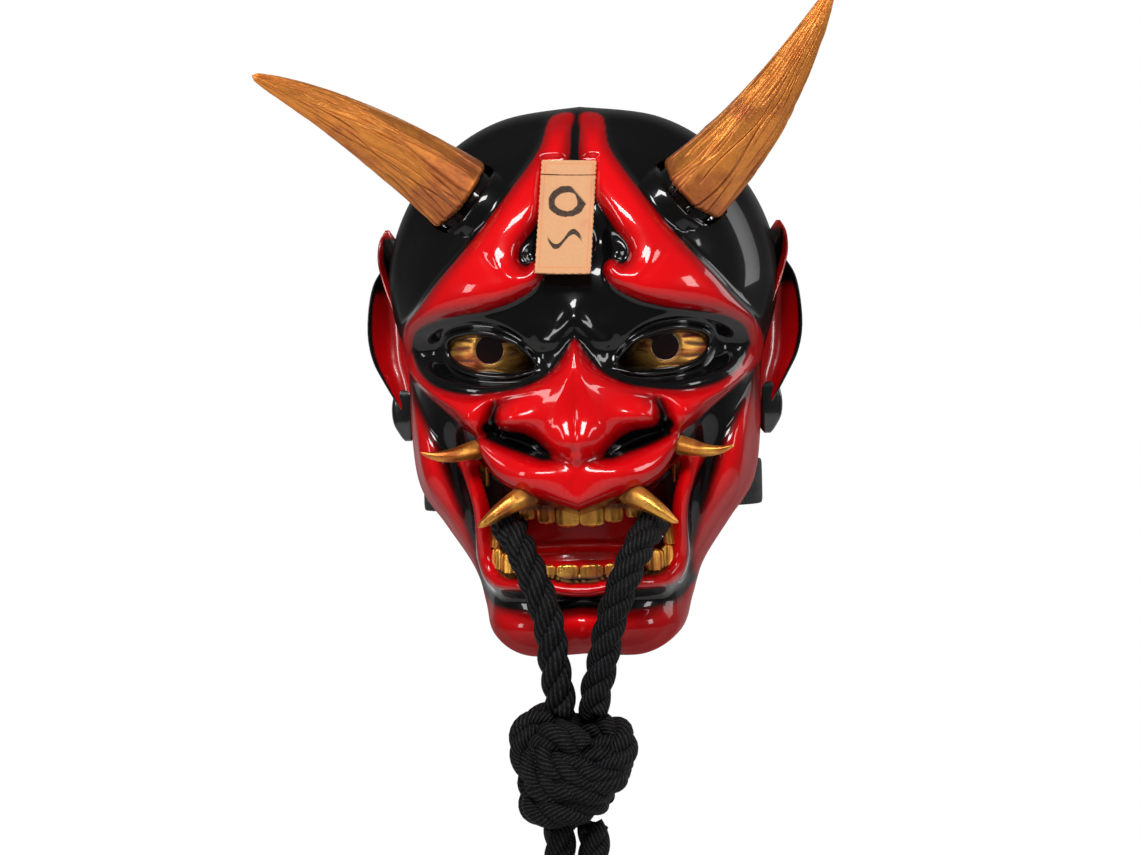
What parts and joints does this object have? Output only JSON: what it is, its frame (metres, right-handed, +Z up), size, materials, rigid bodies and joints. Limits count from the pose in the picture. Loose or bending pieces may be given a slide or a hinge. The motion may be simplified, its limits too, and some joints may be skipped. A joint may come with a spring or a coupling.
{
  "type": "horned demon mask",
  "caption": "Full-face horned demon mask with pull-off gilt horns, gilt eyes and fangs, a paper slip on the brow, a head band and a knotted rope through the mouth.",
  "frame": {"origin": "middle of the open back, in the plane of the back rim at eye level, where the wearer's face is", "axes": "+Z up through the crown, -Y out of the face the way it looks, +X towards the viewer's right"},
  "size_m": [0.2749, 0.2649, 0.5419],
  "materials": {
    "lacquer": "polyurethane resin casting airbrushed red and black under a gloss lacquer",
    "gilt": "satin gold paint",
    "lens_tint": "dark red tinted acrylic",
    "tooth_gilt": "satin gold paint on resin",
    "horn_gilt": "rubbed bronze-gold paint with dark grain",
    "mouth_red": "gloss red lacquer",
    "peg_wood": "plain turned beech",
    "socket_plastic": "moulded black nylon",
    "magnet_metal": "nickel plated magnet",
    "slip_paper": "tea-coloured handmade paper",
    "pad_foam": "closed-cell foam",
    "hanger_steel": "zinc plated",
    "rivet_steel": "black oxide",
    "band_webbing": "woven elastic webbing",
    "slider_plastic": "moulded black nylon",
    "rope_cotton": "three-strand twisted rope, dyed black",
    "tassel_cotton": "rope yarn, combed out and whipped"
  },
  "bodies": {
    "mask": {"mask_shell": "lacquer", "left_ear": "lacquer", "right_ear": "lacquer", "left_eye": "gilt", "right_eye": "gilt", "left_lens": "lens_tint", "right_lens": "lens_tint", "mouth_wall": "mouth_red", "upper_teeth": "tooth_gilt", "lower_teeth": "tooth_gilt", "left_fang": "tooth_gilt", "right_fang": "tooth_gilt", "left_tusk": "tooth_gilt", "right_tusk": "tooth_gilt", "left_horn_socket": "socket_plastic", "right_horn_socket": "socket_plastic", "left_socket_magnet": "magnet_metal", "right_socket_magnet": "magnet_metal", "paper_tab": "slip_paper", "brow_pad": "pad_foam", "left_cheek_pad": "pad_foam", "right_cheek_pad": "pad_foam", "hanger_plate": "hanger_steel", "hanger_screws": "hanger_steel", "left_band_rivet": "rivet_steel", "right_band_rivet": "rivet_steel", "rope_loop": "rope_cotton", "rope_knot": "rope_cotton", "left_tail": "rope_cotton", "right_tail": "rope_cotton", "left_tassel": "tassel_cotton", "right_tassel": "tassel_cotton"},
    "left_horn_body": {"left_horn": "horn_gilt", "left_horn_peg": "peg_wood", "left_peg_magnet": "magnet_metal"},
    "right_horn_body": {"right_horn": "horn_gilt", "right_horn_peg": "peg_wood", "right_peg_magnet": "magnet_metal"},
    "slip": {"paper_slip": "slip_paper"},
    "band": {"left_band": "band_webbing", "right_band": "band_webbing"},
    "slider": {"band_slider": "slider_plastic"}
  },
  "joints": [
    {"name": "left_horn_pull", "type": "slide", "parent": "mask", "child": "left_horn_body", "axis": [-0.7348, -0.253, 0.6293], "range_m": [0, 0.03]},
    {"name": "right_horn_pull", "type": "slide", "parent": "mask", "child": "right_horn_body", "axis": [0.7348, -0.253, 0.6293], "range_m": [0, 0.03]},
    {"name": "slip_lift", "type": "hinge", "parent": "mask", "child": "slip", "pos_m": [-0.00259, -0.07536, 0.08109], "axis": [-0.999, 0, 0.0436], "range_deg": [0, 75]},
    {"name": "band_swing", "type": "hinge", "parent": "mask", "child": "band", "pos_m": [0, -0.024, -0.068], "axis": [1, 0, 0], "range_deg": [-5, 25]},
    {"name": "slider_slide", "type": "slide", "parent": "band", "child": "slider", "axis": [1, 0, 0], "range_m": [-0.014, 0.014]}
  ]
}
